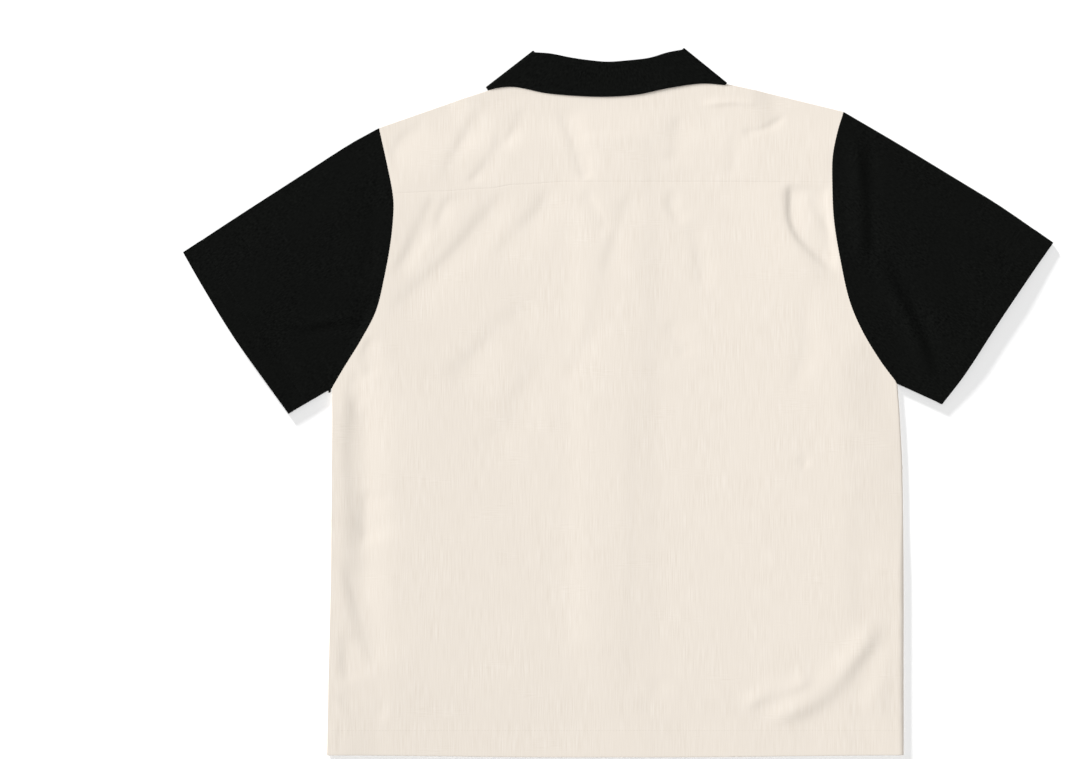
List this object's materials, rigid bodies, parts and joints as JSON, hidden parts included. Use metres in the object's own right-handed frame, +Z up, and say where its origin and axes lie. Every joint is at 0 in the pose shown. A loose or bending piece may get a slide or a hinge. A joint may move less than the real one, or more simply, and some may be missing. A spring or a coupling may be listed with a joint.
{
  "type": "camp-collar shirt",
  "caption": "Boxy short-sleeved camp-collar shirt, laid flat with its back up: pale body and back yoke, black sleeves and collar, straight hem, buttoned front underneath.",
  "frame": {"origin": "the point on the ground under the middle of the laid-out shirt's bounding box", "axes": "+Y from the hem to the collar, +X from the wearer's left cuff to the right cuff, +Z up out of the back"},
  "size_m": [0.9226, 0.7484, 0.0068],
  "materials": {
    "cream_cloth": "matt, with fine lengthwise slub ribs",
    "black_cloth": "matt, with fine lengthwise slub ribs",
    "button_horn": "soft sheen, faintly streaked"
  },
  "bodies": {
    "root": {"back_panel": "cream_cloth", "back_yoke": "cream_cloth", "front_left": "cream_cloth", "front_right": "cream_cloth", "sleeve_left": "black_cloth", "sleeve_right": "black_cloth", "collar": "black_cloth", "button_1": "button_horn", "button_2": "button_horn", "button_3": "button_horn", "button_4": "button_horn", "button_5": "button_horn", "button_6": "button_horn"}
  },
  "joints": []
}
